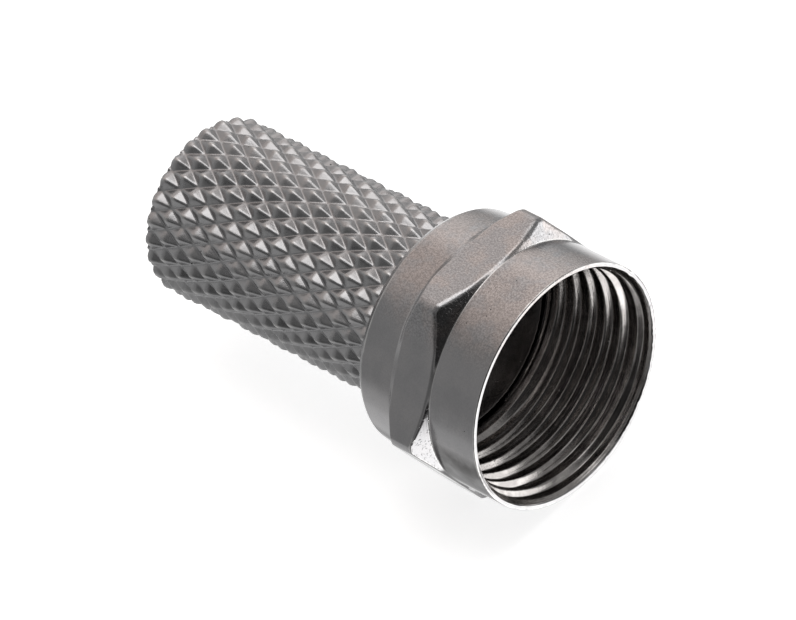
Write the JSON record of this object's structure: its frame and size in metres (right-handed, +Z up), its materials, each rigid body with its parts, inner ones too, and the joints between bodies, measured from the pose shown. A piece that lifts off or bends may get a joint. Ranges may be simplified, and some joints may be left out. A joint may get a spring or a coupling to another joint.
{
  "type": "f connector",
  "caption": "Twist-on coaxial plug: a diamond-knurled barrel for the cable and a hexagonal coupling nut, threaded inside, that turns freely at its front.",
  "frame": {"origin": "middle of the mating face, where the socket's end meets the inner ferrule's flange", "axes": "+X along the plug's axis and out of the nut's mouth, +Z up, with one flat of the coupling nut facing down"},
  "size_m": [0.0186, 0.0114, 0.01],
  "materials": {
    "nut_plating": "dark nickel plate, machined and slightly worn",
    "barrel_plating": "dark nickel plate over a rolled knurl",
    "ferrule_plating": "dark nickel plate, turned"
  },
  "bodies": {
    "plug": {"knurled_barrel": "barrel_plating", "inner_ferrule": "ferrule_plating"},
    "nut": {"coupling_nut": "nut_plating"}
  },
  "joints": [
    {"name": "nut_spin", "type": "hinge", "parent": "plug", "child": "nut", "pos_m": [0, 0, 0], "axis": [1, 0, 0], "continuous": true}
  ]
}
